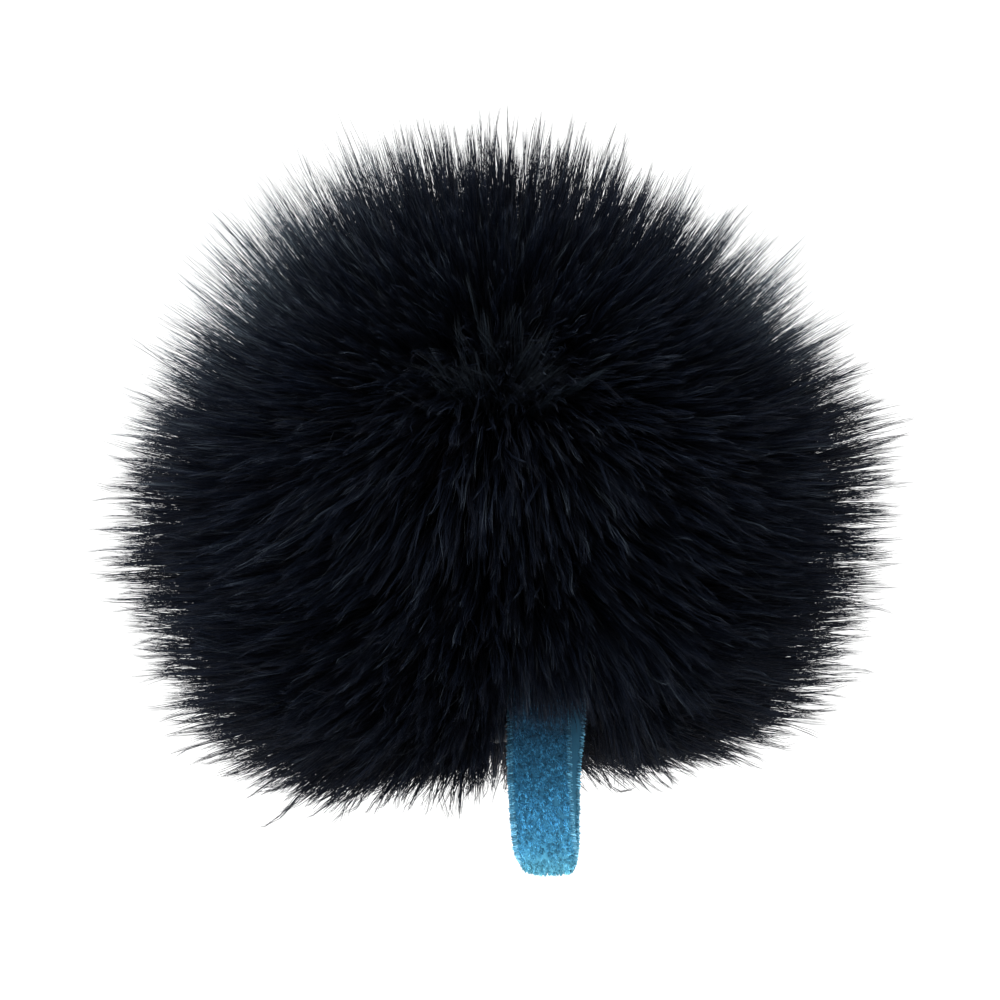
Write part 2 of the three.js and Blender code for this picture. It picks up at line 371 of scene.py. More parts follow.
def hair_material(name, root, middle, tip, cool, warm, pale, roughness=0.55):
    """Hair shaded from root to tip, warmer or cooler by its tint, with pale tips where that is highest."""
    mat, tree, shader = material(name, roughness, specular=0.1)
    tint, along = strand_coordinates(tree)
    length_colour = ramp(tree, along, [(0.0, root), (0.6, middle), (1.0, tip)])
    lock_stops = [(0.0, warm), (0.25, (1, 1, 1)), (0.55, (1.1, 1.15, 1.25)), (1.0, cool)]
    lock_colour = ramp(tree, tint, lock_stops)
    colour = combined(tree, length_colour, lock_colour, "MULTIPLY")
    # Pale tips where the tint is high: a few locks at random, and most where the hair stands loose, where
    # they are painted glow of the white backdrop.
    pale_end = ramp(tree, along, [(0.55, (0, 0, 0)), (1.0, pale)])
    pale_hair = ramp(tree, tint, [(0.5, (0, 0, 0)), (0.95, (1, 1, 1))])
    colour = combined(tree, colour, combined(tree, pale_end, pale_hair, "MULTIPLY"), "ADD")
    tree.links.new(colour, shader.inputs["Base Color"])
    return mat


def yarn_material(name, dark, light, per_mm, roughness, sheen):
    """Dyed yarn: soft patches of two shades, with fine fibres as bump."""
    mat, tree, shader = material(name, roughness, specular=0.2, sheen=sheen)
    tree.links.new(ramp(tree, noise(tree, per_mm), [(0.3, dark), (0.7, light)]), shader.inputs["Base Color"])
    bumped(tree, shader, noise(tree, per_mm * 6), 0.03)
    return mat


GUARD_HAIR = hair_material(
    "guard_hair",
    root=(0.0016, 0.0022, 0.0040),
    middle=(0.0036, 0.0055, 0.0112),
    tip=(0.0060, 0.0094, 0.0185),
    cool=(1.6, 1.8, 1.8),
    warm=(0.9, 0.75, 0.7),
    pale=(0.205, 0.255, 0.285),
)
UNDERFUR = hair_material(
    "underfur",
    root=(0.0012, 0.0012, 0.0015),
    middle=(0.0034, 0.0040, 0.0066),
    tip=(0.0070, 0.0076, 0.0110),
    cool=(1.0, 1.1, 1.3),
    warm=(2.6, 1.8, 1.3),
    pale=(0.0, 0.0, 0.0),
)
# The finest hairs are pale towards their tips: painted glow of the white backdrop round the loose fur.
LOOSE_HAIR = hair_material(
    "loose_hair",
    root=(0.003, 0.0035, 0.0048),
    middle=(0.011, 0.0135, 0.0175),
    tip=(0.055, 0.068, 0.080),
    cool=(1.3, 1.6, 1.8),
    warm=(1.0, 0.9, 0.85),
    pale=(0.05, 0.06, 0.065),
    roughness=0.65,
)
PARTING_HAIR = hair_material(
    "parting_hair",
    root=(0.0015, 0.0018, 0.0025),
    middle=(0.0055, 0.0075, 0.0105),
    tip=(0.0095, 0.0125, 0.0165),
    cool=(1.3, 1.6, 1.8),
    warm=(0.8, 0.7, 0.65),
    pale=(0.012, 0.016, 0.02),
)
KNIT = yarn_material("knit_backing", (0.006, 0.0065, 0.009), (0.016, 0.017, 0.022), 1.2, 0.95, 0.2)
HEM_CLOTH = yarn_material("casing_cloth", (0.005, 0.0055, 0.008), (0.014, 0.015, 0.02), 2.0, 0.95, 0.25)
THREAD = yarn_material("sewing_thread", (0.004, 0.0045, 0.006), (0.018, 0.02, 0.026), 3.0, 0.6, 0.0)
ELASTIC = yarn_material("elastic_braid", (0.01, 0.0105, 0.012), (0.028, 0.029, 0.032), 2.5, 0.7, 0.0)


def foam_material():
    """Charcoal foam, darker in patches, with fine cells as bump."""
    mat, tree, shader = material("open_cell_foam", roughness=0.97, specular=0.1)
    stops = [(0.3, (0.012, 0.0122, 0.0135)), (0.7, (0.038, 0.039, 0.042))]
    colour = ramp(tree, noise(tree, 2.5, 5.0), stops)
    tree.links.new(colour, shader.inputs["Base Color"])
    bumped(tree, shader, noise(tree, 5.0), 0.08)
    return mat


# Colour along the ribbon, from its sewn end (0) over the fold (0.5) to its other end (1): its own blue, with
# painted shadow of the fur darkening both legs towards the sewn ends and painted light from the floor
# brightening the fold.
RIBBON_COLOUR_AND_SHADE = [
    (0.0, (0.004, 0.018, 0.036)),
    (0.12, (0.006, 0.030, 0.060)),
    (0.19, (0.010, 0.060, 0.120)),
    (0.30, (0.028, 0.168, 0.310)),
    (0.38, (0.052, 0.270, 0.470)),
    (0.44, (0.110, 0.500, 0.800)),
    (0.50, (0.190, 0.620, 0.800)),
    (0.58, (0.085, 0.380, 0.620)),
    (0.74, (0.030, 0.150, 0.270)),
    (1.0, (0.004, 0.020, 0.040)),
]
# Colour along the paler yarn at its woven edges: its own pale blue, with painted shade towards the sewn ends
# and painted light round the fold and up the rear leg's edge.
EDGE_COLOUR_AND_SHADE = [
    (0.0, (0.008, 0.026, 0.044)),
    (0.12, (0.016, 0.060, 0.100)),
    (0.19, (0.036, 0.150, 0.250)),
    (0.30, (0.095, 0.340, 0.530)),
    (0.44, (0.170, 0.500, 0.730)),
    (0.50, (0.220, 0.560, 0.760)),
    (0.58, (0.220, 0.580, 0.780)),
    (0.74, (0.160, 0.480, 0.700)),
    (0.84, (0.060, 0.200, 0.330)),
    (1.0, (0.008, 0.030, 0.050)),
]


def ribbon_material(name, colour_and_shade, lightness, contrast, sheen):
    """Blue ribbon with painted shade and painted light along its length, and paler and darker tufts. No
    channel passes 0.8.
    """
    mat, tree, shader = material(name, roughness=0.85, specular=0.15, sheen=sheen)
    across, along = strand_coordinates(tree)
    shades = []
    for place, rgb in colour_and_shade:
        gain = min(lightness, 0.8 / max(rgb))
        shades.append((place, tuple(channel * gain for channel in rgb)))
    base = ramp(tree, along, shades)
    low, high = 1 - contrast, 1 + contrast
    pale = (high * 1.3, high * 1.08, high)
    speckle = ramp(tree, across, [(0.0, (low, low, low)), (0.6, (1, 1, 1)), (1.0, pale)])
    tree.links.new(combined(tree, base, speckle, "MULTIPLY"), shader.inputs["Base Color"])
    return mat


# The cloth is darker than its pile: painted shade where it shows, as in the gap between the legs.
RIBBON_CLOTH = ribbon_material("ribbon_cloth", RIBBON_COLOUR_AND_SHADE, 0.75, 0.0, 0.05)
RIBBON_NAP = ribbon_material("ribbon_nap", RIBBON_COLOUR_AND_SHADE, 1.7, 0.65, 0.05)
RIBBON_EDGE = ribbon_material("ribbon_edge", EDGE_COLOUR_AND_SHADE, 1.1, 0.5, 0.05)
FOAM = foam_material()


# ---------------------------------------------------------------------------------------------
# The fur's shape

# How far the fur reaches below the dome, and where it is rooted there: the tip's radius and height, and the
# root's distance past the widest place of the backing. Above that, both are arcs about CENTRE_Z.
QUARTER = BACKING_R * math.pi / 2
LOWER_OUTLINE = [
    (PILE_R, CENTRE_Z, 0.0),
    (26.1, 9.3, 4.0),
    (24.4, 5.4, 7.6),
    (22.2, 1.6, 10.2),
    (19.3, -1.9, 12.2),
    (16.0, -4.2, 13.6),
    (12.7, -5.2, 14.3),
    (9.4, -4.9, 14.9),
    (6.3, -4.2, 15.6),
]


def backing_line():
    """Points down the outside of the backing and round the hem: distance from the crown, (r, z), normal."""
    dome = np.radians(np.linspace(90, 0, 40))
    parts = [np.stack([BACKING_R * np.cos(dome), CENTRE_Z + BACKING_R * np.sin(dome)], 1)]
    parts.append(np.array([[BACKING_R, 8.0], [BACKING_R, GATHER_Z], [BACKING_FOOT_R, BACKING_FOOT_Z]]))
    hem = np.radians(np.linspace(10, -95, 14))
    parts.append(np.stack([RING_R + CASING_R * np.cos(hem), CASING_R * np.sin(hem)], 1))
    line = np.concatenate(parts)
    return distance_along(line), line, -right_of(line)


DISTANCE, LINE, NORMAL = backing_line()


def on_backing(distance):
    """The place (r, z) and the normal this far from the crown."""
    return [[np.interp(distance, DISTANCE, column) for column in table.T] for table in (LINE, NORMAL)]


def tip_tables():
    """Elevation angle about the dome's centre to the tip's reach and to the root's distance."""
    lower = np.array(LOWER_OUTLINE)
    angle = np.arctan2(lower[:, 1] - CENTRE_Z, lower[:, 0])
    reach = np.hypot(lower[:, 1] - CENTRE_Z, lower[:, 0])
    root = QUARTER + lower[:, 2]
    fine = np.linspace(angle[-1], math.pi / 2, 300)
    order = np.argsort(angle)
    reach = np.interp(fine, angle[order], reach[order])
    root = np.where(fine > 0, BACKING_R * (math.pi / 2 - fine), np.interp(fine, angle[order], root[order]))
    return fine, reach, root


TIP_ANGLE, TIP_REACH, TIP_ROOT = tip_tables()
LEFT, RIGHT = CAMERA_AZIMUTH - math.pi / 2, CAMERA_AZIMUTH + math.pi / 2
COMBED = 0.56  # how much nearer the crown the front of the fur is rooted than its tips would have it
COMB_WIDE = math.radians(80)
WHORL_ANGLE = math.radians(22)
STIFFNESS = 0.42  # how far a hair leaves the backing squarely before it bends to its tip
# Where the fur is trimmed longer or shorter: turn in radians, elevation and width in degrees, and by
# what share.
UNEVEN = [
    (LEFT, -42, 40, 0.045),
    (LEFT, 70, 35, 0.03),
    (LEFT, 60, 36, 0.05),
    (RIGHT, 76, 20, 0.025),
    (RIGHT, 1, 15, -0.035),
    (RIGHT - 0.2, -80, 22, 0.03),
    (-0.5, -66, 26, 0.045),
    (LEFT, 64, 24, 0.02),
    (RIGHT, 15, 14, 0.03),
    (RIGHT, -58, 32, -0.09),
    (RIGHT, -30, 20, 0.02),
    (LEFT, -76, 16, -0.03),
    (RIGHT, 15, 25, 0.03),
    (LEFT, 45, 26, 0.03),
    (RIGHT, 42, 24, 0.035),
    (LEFT, 0, 16, 0.02),
]
# Where the hairs stand loose and light comes through: the same, and how thin.
THIN_PATCHES = [
    (LEFT, 44, 46, 1.0),
    (RIGHT, 44, 34, 1.0),
]
SOFT_PATCH = (RIGHT - 0.4, -74, 52)  # here the curly underfur reaches the outside


def near(angle, turn, centre_turn, elevation, wide):
    """1 in this direction from the dome's centre, falling smoothly to 0 where it is wide away."""
    way = polar(np.cos(angle), np.sin(angle), turn)
    centre_angle = math.radians(elevation)
    centre = polar(math.cos(centre_angle), math.sin(centre_angle), centre_turn)
    return smoothstep(math.radians(wide), 0.0, np.arccos(np.clip(way @ centre, -1, 1)))


def thinness(angle, turn):
    """How loosely the hairs stand in this direction, from 0 to 1."""
    return sum(amount * near(angle, turn, *place) for *place, amount in THIN_PATCHES)


def slow_waves():
    """Waves that lean neighbouring strands the same way: wave vector, phase and sideways move."""
    sizes = ((11.0, 0.5), (9.0, 0.45), (7.0, 0.35), (5.0, 0.25), (4.0, 0.2), (3.2, 0.16))
    made = []
    for wave, size in [each for each in sizes for _ in range(2)]:
        vector = unit(rng.normal(size=3)) * 2 * math.pi / wave
        phase = rng.uniform(0, 2 * math.pi)
        made.append((vector, phase, unit(rng.normal(size=3)) * size))
    return made


TUFT_WAVES = slow_waves()


def leaned(tip):
    """The tips moved along the fur's surface by the slow waves, which gathers tufts and opens gaps."""
    move = sum(np.sin(tip @ vector + phase)[:, None] * size for vector, phase, size in TUFT_WAVES)
    out = unit(tip - np.array([0, 0, CENTRE_Z]))
    return tip + move - out * (move * out).sum(-1, keepdims=True) * 0.75


def groomed(angle, turn, reach):
    """Root, root normal and tip of the strand whose tip is at this angle and turn."""
    uneven = 1 + sum(amount * near(angle, turn, *place) for *place, amount in UNEVEN)
    tip_reach = np.interp(angle, TIP_ANGLE, TIP_REACH) * reach * uneven
    tip = leaned(polar(tip_reach * np.cos(angle), CENTRE_Z + tip_reach * np.sin(angle), turn))
    distance = np.interp(angle, TIP_ANGLE, TIP_ROOT)
    away = np.abs((turn - CAMERA_AZIMUTH + math.pi) % (2 * math.pi) - math.pi)
    combed = smoothstep(COMB_WIDE, 0.0, away) * COMBED
    share = distance / TIP_ROOT.max()
    over_tab = smoothstep(0.6, 0.2, np.abs(turn)) * smoothstep(0.55, 0.8, share) * 0.35
    distance = distance * (1 - np.maximum(combed * (1 - share**2), over_tab))
    (r, z), (normal_r, normal_z) = on_backing(distance)
    return polar(r, z, turn), polar(normal_r, normal_z, turn), tip


def even_directions(count):
    """Angles and turns spread evenly over the fur's outline."""
    r = TIP_REACH * np.cos(TIP_ANGLE)
    z = TIP_REACH * np.sin(TIP_ANGLE)
    area = np.concatenate([[0], np.cumsum(np.hypot(np.diff(r), np.diff(z)) * (r[1:] + r[:-1]) / 2)])
    place = (np.arange(count) + 0.5) / count * area[-1]
    angle = np.interp(place, area, TIP_ANGLE)
    golden = math.pi * (3 - math.sqrt(5))
    return angle, (np.arange(count) * golden) % (2 * math.pi)


def jittered(angle, turn, spread):
    """Directions moved sideways at random, by about spread millimetres at the tips."""
    reach = np.interp(angle, TIP_ANGLE, TIP_REACH)
    point = polar(reach * np.cos(angle), reach * np.sin(angle), turn)
    point = point + rng.normal(size=point.shape) * np.reshape(spread, (-1, 1))
    flat = np.hypot(point[:, 0], point[:, 1])
    angle = np.clip(np.arctan2(point[:, 2], flat), TIP_ANGLE[0], TIP_ANGLE[-1])
    return angle, np.arctan2(point[:, 0], -point[:, 1])


def bent(root, middle, tip, steps):
    """Lines that leave the root towards the middle, and come to the tip from it."""
    t = steps[None, :, None]
    return (1 - t) ** 2 * root[:, None] + 2 * (1 - t) * t * middle[:, None] + t**2 * tip[:, None]


def curve(root, normal, tip, stiff, steps):
    """Lines that leave along a mix of the normal and the straight way, and bend to the tip."""
    way = tip - root
    length = np.linalg.norm(way, axis=1, keepdims=True)
    start = unit(unit(way) * (1 - stiff) + normal * stiff)
    return bent(root, root + start * length * 0.5, tip, steps)


def waves(count, steps, size, turns):
    """Sideways waves that grow towards the tip."""
    phase = rng.uniform(0, 2 * math.pi, (count, 1, 1))
    rate = rng.uniform(*turns, (count, 1, 1))
    way = unit(rng.normal(size=(count, 1, 3)))
    t = steps[None, :, None]
    return way * np.sin(phase + 2 * math.pi * rate * t) * t * np.reshape(size, (-1, 1, 1))


def along_line(lines, place):
    """The points at these places, counted in rings from the root, on each strand."""
    low = np.clip(place.astype(int), 0, lines.shape[1] - 2)
    share = (place - low)[..., None]
    row = np.arange(len(lines))[:, None]
    return lines[row, low] * (1 - share) + lines[row, low + 1] * share


def trimmed(lines):
    """The strands, cut short where they meet the ribbon or hang before it, and which of them are kept."""
    last, samples = lines.shape[1] - 1, 32
    fine = along_line(lines, np.tile(np.linspace(0, last, samples + 1), (len(lines), 1)))
    x, y, z = fine[..., 0], fine[..., 1], fine[..., 2]
    half = LOOP_HIGH[0] + 0.1
    swing = np.maximum(HINGE_Z - z, 0) * math.tan(math.radians(-TAB_LIFT["range_deg"][0]))
    behind = NECK_HIGH[1] + 0.15 + swing + 2.0 * smoothstep(HINGE_Z, NECK_LOW[2], z)
    beside = (np.abs(x) < half + 0.22) & (z < ROOT_HIGH[2] + 0.1)
    in_ribbon = beside & (y < behind) & (y > NECK_LOW[1] - 0.15)
    forward = np.maximum(TAB_Y - y, 0)
    left = -half - forward * math.tan(-CAMERA_AZIMUTH)
    edge = rng.uniform(HINGE_Z - 2.5, HINGE_Z, (len(lines), 1))
    in_front = (x > left) & (x < half) & (y < NECK_LOW[1]) & (z < edge)
    blocked = in_ribbon | in_front
    free = np.where(blocked.any(axis=1), blocked.argmax(axis=1) - 1, samples)
    end = np.maximum(free, 0) / samples * last
    cut = along_line(lines, end[:, None] * np.linspace(0, 1, last + 1)[None])
    return cut, free > 0.4 * samples


def guard_hair(locks, per_lock):
    """Long strands in small locks that draw together at their tips."""
    steps = np.array([0, 0.34, 0.58, 0.73, 0.84, 0.93, 1.0])
    angle, turn = jittered(*even_directions(locks), 1.2)
    short = rng.random(locks) < 0.5
    reach = np.where(short, rng.uniform(0.80, 0.98, locks), rng.normal(0.997, 0.03, locks))
    reach = np.minimum(reach, 1.05) * (1 - 0.10 * near(angle, turn, *SOFT_PATCH))
    thin = thinness(angle, turn)
    reach = reach * (1 + thin * np.where(rng.random(locks) < 0.5, -0.12, -0.01))
    lock_line = curve(*groomed(angle, turn, reach), STIFFNESS, steps)
    astray = np.where(rng.random(locks) < 0.2, 2.0, 1.0)
    calm = 1 - 0.6 * near(angle, turn, *SOFT_PATCH)
    lock_line += waves(locks, steps, rng.uniform(0.3, 1.2, locks) * astray * calm, (0.4, 1.1))
    lock_line += waves(locks, steps, rng.uniform(0.08, 0.34, locks), (2.0, 3.8))
    which = np.repeat(np.arange(locks), per_lock)
    count = len(which)
    own_angle, own_turn = jittered(angle[which], turn[which], 0.5 + 0.5 * thin[which])
    own_reach = reach[which] * rng.uniform(0.88, 1.0, count)
    own = curve(*groomed(own_angle, own_turn, own_reach), STIFFNESS, steps)
    tight = rng.uniform(0.75, 0.99, locks)[which] * (rng.random(count) > 0.08) * (1 - 0.45 * thin[which])
    pull = (smoothstep(0.15, 1.0, steps)[None] * tight[:, None])[..., None]
    shorter = own_reach / reach[which]
    along = own + (lock_line[which] - own) * pull
    # A shorter strand stops part of the way along its lock.
    along[:, -1] = along[:, -1] * shorter[:, None] ** 2 + along[:, -2] * (1 - shorter[:, None] ** 2)
    along += waves(count, steps, rng.uniform(0.0, 0.26, count), (1.2, 3.6))
    # Where the hairs stand loose the tint is raised, which gives paler, cooler tips: painted glow of the
    # white backdrop through the loose fur.
    tint = 0.55 * rng.random(locks)[which] + rng.normal(0, 0.06, count) + 0.45 * thin[which]
    return along, np.clip(tint, 0, 1)


def under_hair(count):
    """Shorter, finer strands with no order, which fill the fur."""
    steps = np.array([0, 0.3, 0.55, 0.8, 1.0])
    angle, turn = jittered(*even_directions(count), 1.4)
    soft = near(angle, turn, *SOFT_PATCH)
    reach = rng.uniform(0.61, 0.91, count) * (1 - 0.09 * thinness(angle, turn)) + 0.09 * soft
    line = curve(*groomed(angle, turn, reach), 0.5, steps)
    line += waves(count, steps, rng.uniform(0.2, 1.2, count) * (1 + 0.3 * soft), (0.5, 1.4))
    return line, rng.random(count) * (1 - 0.75 * soft)


def loose_hair(count):
    """The finest strands, which stand out of the fur one by one."""
    steps = np.array([0, 0.35, 0.6, 0.82, 1.0])
    angle, turn = jittered(*even_directions(count), 2.0)
    wanted = rng.random(count) < 0.12 + 0.88 * thinness(angle, turn)
    angle, turn = angle[wanted], turn[wanted]
    count = len(angle)
    line = curve(*groomed(angle, turn, rng.uniform(0.84, 1.05, count)), 0.35, steps)
    line += waves(count, steps, rng.uniform(0.3, 1.2, count), (0.5, 1.7))
    # Where the fur stands loose these hairs get a higher tint and paler tips: painted glow of the white
    # backdrop.
    return line, np.clip(rng.random(count) * 0.5 + 0.5 * thinness(angle, turn), 0, 1)


def parting(locks, per_lock):
    """The paler locks that fan up and outwards from the whorl on the front."""
    steps = np.array([0, 0.3, 0.55, 0.75, 0.9, 1.0])
    heading = rng.uniform(math.radians(-20), math.radians(170), locks)
    angle = WHORL_ANGLE + np.sin(heading) * rng.uniform(0.1, 0.36, locks)
    turn = CAMERA_AZIMUTH + np.cos(heading) * rng.uniform(0.1, 0.4, locks)
    foot_angle = WHORL_ANGLE + rng.normal(0, 0.05, locks)
    foot_turn = CAMERA_AZIMUTH + rng.normal(0, 0.06, locks)
    _, _, tip = groomed(angle, turn, rng.uniform(0.88, 0.97, locks))
    root, _, foot = groomed(foot_angle, foot_turn, rng.uniform(0.62, 0.8, locks))
    line = np.repeat(bent(root, foot + (foot - root) * 0.25, tip, steps), per_lock, axis=0)
    count = len(line)
    spread = rng.normal(0, 0.35, (count, 1, 3)) * (1 - 0.6 * steps[None, :, None])
    line = line + spread + waves(count, steps, rng.uniform(0.0, 0.25, count), (0.8, 2.0))
    return line, np.clip(rng.normal(0.55, 0.25, count), 0, 1)


def taper(count, rings, thick, thin):
    """Radii from root to tip, with each strand a little thicker or thinner than the next."""
    share = np.linspace(0, 1, rings)
    base = thick + (thin - thick) * share**1.3
    return base[None] * rng.uniform(0.8, 1.2, (count, 1))


STRANDS_PER_PIECE = 5800
FRINGE_TOP_Z = 6.0  # strands that end below this in front of the ribbon make pieces of their own


def fur_pieces(kind, lines, tint, thick, thin, mat):
    """The strands of the front and rear panels in pieces of a handy size, and the fringe over the ribbon."""
    lines, kept = trimmed(lines)
    lines, tint = lines[kept], tint[kept]
    x, y, z = lines[:, -1].T
    fringe = (np.abs(x) < NOTCH_HALF) & (y < TAB_Y) & (z < FRINGE_TOP_Z)
    front = lines[:, 0, 1] < 0
    for panel, chosen in (("front", front & ~fringe), ("rear", ~front), ("fringe", front & fringe)):
        own_lines, own_tint = lines[chosen], tint[chosen]
        order = np.argsort(np.arctan2(own_lines[:, 0, 0], np.abs(own_lines[:, 0, 1])), kind="stable")
        chunks = math.ceil(len(order) / STRANDS_PER_PIECE)
        for n, part in enumerate(np.array_split(order, chunks) if chunks else []):
            radii = taper(len(part), lines.shape[1] - 1, thick, thin)
            piece = strand_mesh(f"{panel}_{kind}_{n + 1}", own_lines[part], radii, own_tint[part])
            piece.data.materials.append(mat)
            if panel == "fringe":
                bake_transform(piece)
            else:
                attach(piece, "cover")
            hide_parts("rear_pile" if panel == "rear" else "front_pile")


# Kinds of hair: name, what grows it, its counts, its radius at root and tip, its material.
HAIR = [
    ("guard_hair", guard_hair, (14000, 5), 0.036, 0.014, GUARD_HAIR),
    ("underfur", under_hair, (26000,), 0.034, 0.012, UNDERFUR),
    ("loose_hair", loose_hair, (26000,), 0.020, 0.008, LOOSE_HAIR),
    ("parting", parting, (42, 6), 0.030, 0.010, PARTING_HAIR),
]


def make_fur():
    """All the hair, one kind after another."""
    for kind, grow, counts, thick, thin, mat in HAIR:
        fur_pieces(kind, *grow(*counts), thick, thin, mat)


# ---------------------------------------------------------------------------------------------
# The sewn cover under the fur


def knit_relief(across, down):
    """Height from 0 to 1 of plain knitting, where across counts its columns and down counts its rows."""
    lean = (down % 1 - 0.5) * 0.2
    x = across % 1
    legs = [np.exp(-(((x - centre) / 0.15) ** 2)) for centre in (0.28 + lean, 0.72 - lean)]
    return np.maximum(*legs) * (0.75 + 0.25 * np.cos(2 * math.pi * down))


def make_backing():
    """The two knitted panels. They meet over the crown, and their relief is on the outside."""
    columns, rows, thick, relief, gap = 150, 110, 0.55, 0.12, 0.01
    columns_per_radian, row_high = 9, 0.75  # of the knitting
    foot = np.interp(BACKING_FOOT_Z, LINE[::-1, 1], DISTANCE[::-1])
    distance = np.linspace(0.25, foot, rows)[:, None]
    (r, z), (normal_r, normal_z) = on_backing(distance)
    for panel, middle in (("front", 0.0), ("rear", math.pi)):
        turn = np.linspace(middle - math.pi / 2 + gap, middle + math.pi / 2 - gap, columns)[None]
        height = relief * (knit_relief(turn * columns_per_radian, distance / row_high) - 1)
        faces = [polar(r + normal_r * lift, z + normal_z * lift, turn) for lift in (height, -thick)]
        piece = slab(f"{panel}_knit", *faces)
        finished(piece, KNIT, f"{panel}_backing")


def make_hem():
    """The turned hem, puckered by its elastic, with its slot on top."""
    columns, rows = 320, 30
    turn = np.linspace(0, 2 * math.pi, columns, endpoint=False)[None]
    section = np.linspace(math.pi / 2 + CHANNEL_SLOT, 2.5 * math.pi - CHANNEL_SLOT, rows)[:, None]
    pucker = 0.5 + 0.5 * np.sin(34 * turn + 1.3 * np.sin(5 * turn) + 0.4 * np.sin(2 * section))
    lie = (0.6 - 0.4 * np.cos(section)) * 0.16  # puckers are deepest at the mouth
    faces = []
    for radius, share in ((CASING_R, 1.0), (CHANNEL_R, 0.5)):
        r = radius - lie * pucker * share
        faces.append(polar(RING_R + r * np.cos(section), r * np.sin(section), turn))
    finished(slab("hem", *faces, wrap=True), HEM_CLOTH, "hem_casing")


def zigzag(length, stitches, swing, per_stitch=8):
    """Distance along the seam and sideways place of a zigzag thread, with rounded corners."""
    t = np.linspace(0, 1, stitches * per_stitch + 1)
    wave = np.sin(2 * math.pi * stitches * t)
    return t * length, swing * wave * (1.25 - 0.25 * wave**2)


def make_stitches():
    """Zigzag threads: round the hem, over the crown between the panels, and across the ribbon's ends."""
    radius = RING_R + CASING_R + THREAD_R * 0.9
    place, side = zigzag(2 * math.pi - 0.08, 26, 0.42, 10)
    path = polar(radius, 0.45 + side, place + math.pi + 0.04)
    finished(cord_mesh("hem_zigzag", path, THREAD_R, 3, 0.8, 9), THREAD, "hem_stitch")

    radius = (BACKING_R - 0.8 + FOAM_R) / 2
    straight = CENTRE_Z - GATHER_Z
    length = 2 * straight + math.pi * radius
    place, side = zigzag(length, 22, 0.6, 10)
    angle = np.clip((place - straight) / radius, 0, math.pi)
    below = np.maximum(straight - place, 0) + np.maximum(place - (length - straight), 0)
    path = np.stack([radius * np.cos(angle), side, CENTRE_Z + radius * np.sin(angle) - below], 1)
    finished(cord_mesh("panel_seam", path, THREAD_R, 3, 0.8, 9), THREAD, "panel_seam_thread")

    for name, z in (("tab_tack_lower", 3.6), ("tab_tack_upper", 4.6)):
        place, side = zigzag(RIBBON_WIDE - 0.7, 13, 0.24)
        x = place - place[-1] / 2 - RIBBON_SKEW
        path = np.stack([x, np.full(len(x), TAB_Y - RIBBON_THICK - 0.06), z + side], 1)
        finished(cord_mesh(f"{name}_zigzag", path, 0.09, 3, 0.5, 9), THREAD, name)


def make_elastic():
    """The elastic in the hem, from one side of its knot to the other, and the knot, a trefoil."""
    opening = (KNOT_R + 0.05) / RING_R
    path = polar(RING_R, 0.0, np.linspace(math.pi + opening, 3 * math.pi - opening, 420))
    piece = cord_mesh("elastic_braid", path, ELASTIC_R, 8, 1.6, 32, braided=True)
    finished(piece, ELASTIC, "elastic_cord")

    t = np.linspace(0, 2 * math.pi, 160, endpoint=False)
    swell = 0.3 * KNOT_R
    x, z = np.sin(t) + 2 * np.sin(2 * t), np.cos(t) - 2 * np.cos(2 * t)
    trefoil = np.stack([x, -1.1 * np.sin(3 * t), z], 1)
    path = trefoil * (KNOT_R - swell) / 3 + np.array([0, RING_R, 0])
    piece = cord_mesh("elastic_bend", path, swell, 8, 0.9, 20, closed=True, braided=True)
    finished(piece, ELASTIC, "elastic_knot")


def foam_relief(points):
    """Foam's open cells: a pit about each of many scattered centres, with a rim between."""
    count, depth = 1500, 0.16
    cells = points[rng.choice(len(points), count, replace=False)] + rng.normal(0, 0.1, (count, 3))
    nearest = []
    for part in np.array_split(points, 60):
        nearest.append(np.sqrt(((part[:, None] - cells[None]) ** 2).sum(-1)).min(1))
    pit = depth * smoothstep(0.34, 0.05, np.concatenate(nearest))
    outward = unit(points - np.array([0, 0, CENTRE_Z]))
    x, y, z = points.T
    in_pocket = (np.hypot(x, y) < POCKET_R + 0.05) & (z < POCKET_TOP_Z + 0.05)
    return points + outward * (np.where(in_pocket, 1.0, -1.0) * pit)[:, None]


def make_foam():
    """The core: down its outside, in under its foot, and up the wall of its pocket to the flat end."""
    dome = np.radians(np.linspace(90, 0, 44))
    outside = [(FOAM_R * math.cos(a), CENTRE_Z + FOAM_R * math.sin(a)) for a in dome]
    outside += [(FOAM_R, z) for z in np.linspace(CENTRE_Z, FOAM_GATHER_Z, 36)[1:]]
    foot = []
    for r in np.linspace(FOAM_FOOT_R, POCKET_R, 9):
        foot.append((r, FOAM_FOOT_Z + 0.25 * (1 - math.cos((r - POCKET_R) * 3))))
    pocket = [(POCKET_R, z) for z in np.linspace(FOAM_FOOT_Z, POCKET_TOP_Z - 1, 48)[1:]]
    seat = [(r, POCKET_TOP_Z) for r in np.linspace(SEAT_R, 0, 10)]
    piece = turned("foam", outside + foot + pocket + seat, 150, foam_relief)
    finished(piece, FOAM, "foam_core")


# ---------------------------------------------------------------------------------------------
# The ribbon tab

CLOTH_THICK = 0.36
NAP = 0.26  # how far the pile stands off the cloth
PLY_OUT = 1.05  # half the loop's depth, pile and all


